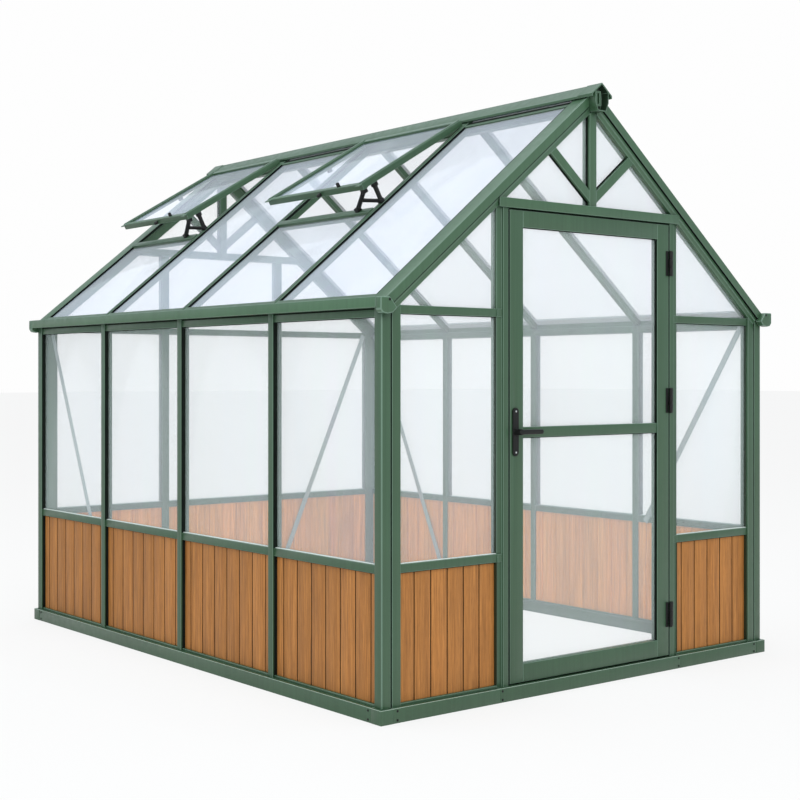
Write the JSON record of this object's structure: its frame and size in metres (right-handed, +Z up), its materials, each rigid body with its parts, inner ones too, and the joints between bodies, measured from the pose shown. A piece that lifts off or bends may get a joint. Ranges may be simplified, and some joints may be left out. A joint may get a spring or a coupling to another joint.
{
  "type": "walk-in greenhouse",
  "caption": "Gabled walk-in greenhouse with a green metal frame, boarded lower walls, clear glazing, a hinged door and two open roof vents.",
  "frame": {"origin": "middle of the base ring, on the ground", "axes": "+X to the right seen from the door, +Y from the door gable to the back gable, +Z up"},
  "size_m": [1.932, 2.52, 2.0825],
  "materials": {
    "green_frame": "satin powder coat",
    "boarding": "matt, upright boards",
    "clear_glazing": "clear polycarbonate, slightly hazy",
    "black_fittings": "satin black",
    "bright_braces": "mill finish"
  },
  "bodies": {
    "frame": {"base_rails": "green_frame", "base_front_rails": "green_frame", "door_sill": "green_frame", "base_corners": "green_frame", "corner_posts": "green_frame", "gable_stiles": "green_frame", "side_mullions": "green_frame", "back_posts": "green_frame", "door_jambs": "green_frame", "foot_rails": "green_frame", "dado_rails": "green_frame", "left_wood_panels": "boarding", "right_wood_panels": "boarding", "front_wood_panels": "boarding", "back_wood_panels": "boarding", "left_wall_panes": "clear_glazing", "right_wall_panes": "clear_glazing", "front_wall_panes": "clear_glazing", "back_wall_panes": "clear_glazing", "eave_rails": "green_frame", "gable_rails": "green_frame", "gutters": "green_frame", "gutter_end_caps": "green_frame", "gable_rafters": "green_frame", "gable_headers": "green_frame", "king_posts": "green_frame", "gable_struts": "green_frame", "gable_panes": "clear_glazing", "roof_bars": "green_frame", "left_roof_panes": "clear_glazing", "right_roof_panes": "clear_glazing", "ridge_beam": "green_frame", "ridge_cap": "green_frame", "ridge_end_caps": "green_frame", "vent_frames": "green_frame", "vent_panes": "clear_glazing", "vent_sills": "green_frame", "vent_stays": "black_fittings", "corner_braces": "bright_braces", "jamb_hinges": "black_fittings"},
    "door": {"door_stiles": "green_frame", "door_rails": "green_frame", "door_panes": "clear_glazing", "door_hinges": "black_fittings", "door_handle_plates": "black_fittings"},
    "lever": {"door_levers": "black_fittings"}
  },
  "joints": [
    {"name": "door_hinge", "type": "hinge", "parent": "frame", "child": "door", "pos_m": [0.401, -1.225, 0.9], "axis": [0, 0, 1], "range_deg": [0, 110]},
    {"name": "lever_turn", "type": "hinge", "parent": "door", "child": "lever", "pos_m": [-0.375, -1.218, 0.885], "axis": [0, 1, 0], "range_deg": [0, 40], "stiffness_Nm_per_rad": 1, "springref_deg": -20.05}
  ]
}
